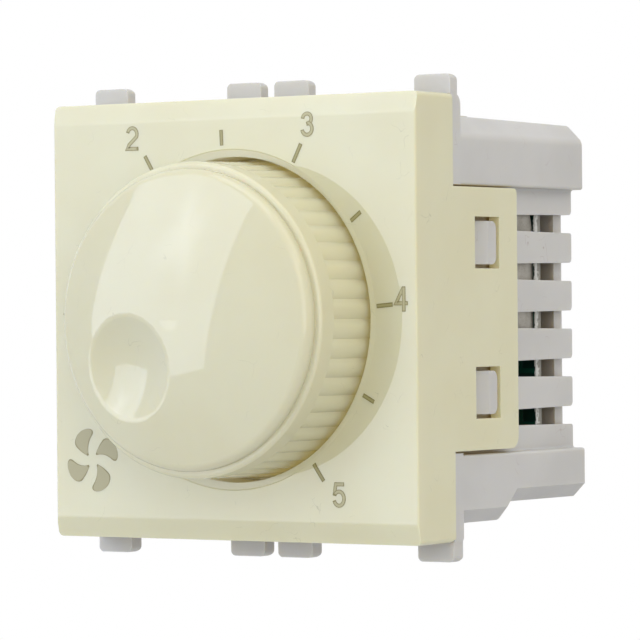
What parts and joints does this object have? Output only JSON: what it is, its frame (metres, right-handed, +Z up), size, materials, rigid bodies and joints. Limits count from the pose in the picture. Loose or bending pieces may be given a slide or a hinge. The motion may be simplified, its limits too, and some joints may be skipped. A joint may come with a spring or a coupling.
{
  "type": "fan speed control switch",
  "caption": "Rotary fan speed control insert: square cream plate with a domed turning knob and printed dial, clip tabs, and a louvred grey housing with lift terminals.",
  "frame": {"origin": "on the dial axis, in the plane where the clip tabs seat against the back of the grid frame", "axes": "+X right and +Z up as seen from the room, -Y out of the wall towards the room, +Y into the wall"},
  "size_m": [0.045, 0.0437, 0.049],
  "materials": {
    "cream_plate": "smooth cream moulding",
    "cream_knob": "polished cream moulding",
    "grey_housing": "fine satin light grey moulding",
    "green_board": "green solder mask over glass laminate",
    "zinc_screws": "zinc plated steel",
    "pot_can": "plated steel can",
    "nickel_nut": "nickel plated",
    "brown_phenolic": "brown phenolic sheet",
    "tinned_metal": "tinned",
    "white_nylon": "white moulded shaft",
    "contact_bronze": "bronze spring sheet",
    "sheet_aluminium": "mill finish sheet",
    "black_moulding": "black epoxy moulding",
    "ferrite": "dark grey sintered ring",
    "enamelled_wire": "enamelled copper wire",
    "capacitor_case": "yellow cast case",
    "resistor_body": "blue-grey lacquer",
    "diac_glass": "blue bead",
    "terminal_brass": "brass strip",
    "cage_steel": "plated steel strap"
  },
  "bodies": {
    "root": {"front_plate": "cream_plate", "housing": "grey_housing", "circuit_board": "green_board", "board_screws": "zinc_screws", "pot_case": "pot_can", "pot_nut": "nickel_nut", "pot_cover": "brown_phenolic", "pot_wafer": "brown_phenolic", "pot_pins": "tinned_metal", "heat_sink": "sheet_aluminium", "triac_plate": "tinned_metal", "triac_case": "black_moulding", "triac_legs": "tinned_metal", "triac_screw": "zinc_screws", "choke_core": "ferrite", "choke_winding": "enamelled_wire", "large_capacitor": "capacitor_case", "small_capacitor": "capacitor_case", "resistor_outer": "resistor_body", "resistor_inner": "resistor_body", "diac": "diac_glass", "terminal_bar_left": "terminal_brass", "terminal_bar_right": "terminal_brass"},
    "knob": {"knob": "cream_knob", "pot_shaft": "white_nylon", "pot_wiper": "contact_bronze"},
    "cage_left": {"terminal_cage_left": "cage_steel"},
    "cage_right": {"terminal_cage_right": "cage_steel"},
    "screw_left": {"terminal_screw_left": "zinc_screws"},
    "screw_right": {"terminal_screw_right": "zinc_screws"}
  },
  "joints": [
    {"name": "knob_turn", "type": "hinge", "parent": "root", "child": "knob", "pos_m": [0, 0, 0], "axis": [0, 1, 0], "range_deg": [0, 275]},
    {"name": "screw_left_turn", "type": "hinge", "parent": "root", "child": "screw_left", "pos_m": [-0.0095, 0.01865, 0.016], "axis": [0, 0, -1], "range_deg": [0, 1440]},
    {"name": "cage_left_lift", "type": "slide", "parent": "root", "child": "cage_left", "axis": [0, 0, 1], "range_m": [0, 0.0024]},
    {"name": "screw_right_turn", "type": "hinge", "parent": "root", "child": "screw_right", "pos_m": [0.0095, 0.01865, 0.016], "axis": [0, 0, -1], "range_deg": [0, 1440]},
    {"name": "cage_right_lift", "type": "slide", "parent": "root", "child": "cage_right", "axis": [0, 0, 1], "range_m": [0, 0.0024]}
  ],
  "couplings": [
    {"joint": "screw_left_turn", "follows": "cage_left_lift", "rad_per_m": 10472},
    {"joint": "screw_right_turn", "follows": "cage_right_lift", "rad_per_m": 10472}
  ]
}
